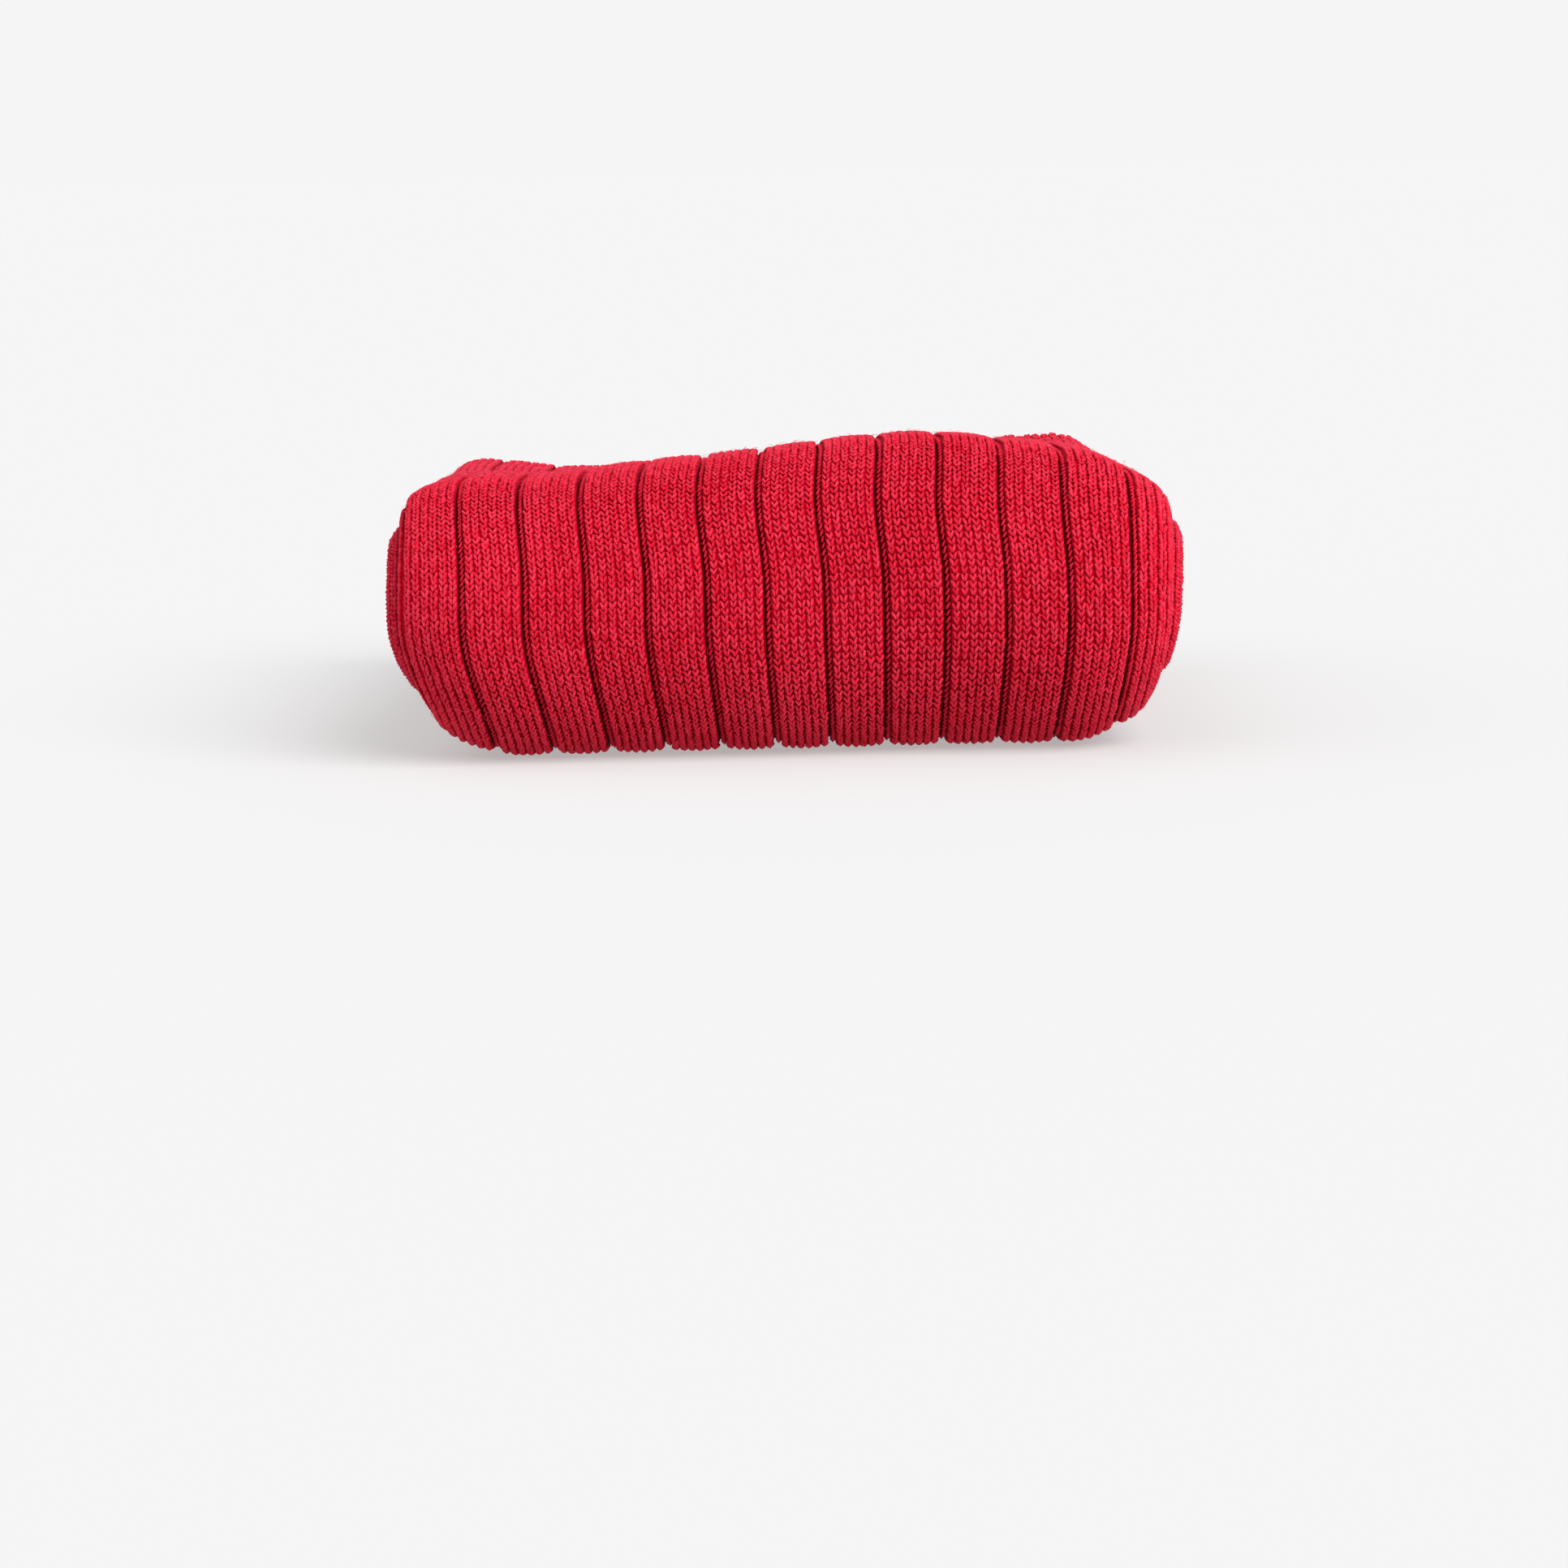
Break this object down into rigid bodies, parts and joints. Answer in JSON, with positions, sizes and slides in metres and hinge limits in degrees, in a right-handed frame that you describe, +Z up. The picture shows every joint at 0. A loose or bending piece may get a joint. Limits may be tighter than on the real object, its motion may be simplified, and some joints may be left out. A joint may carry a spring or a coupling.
{
  "type": "folded pair of ribbed cotton socks",
  "caption": "Pair of ribbed knit cotton socks laid together and folded twice into a flat bundle, with the big fold at the front.",
  "frame": {"origin": "centre of the flat underside on which the folded pair rests", "axes": "+Z up, the big fold faces -Y, +X runs along the fold to the right as seen from the front"},
  "size_m": [0.0988, 0.1078, 0.0391],
  "materials": {
    "red_cotton_rib": "matte ribbed knit"
  },
  "bodies": {
    "root": {"outer_sock": "red_cotton_rib", "inner_sock": "red_cotton_rib"}
  },
  "joints": []
}
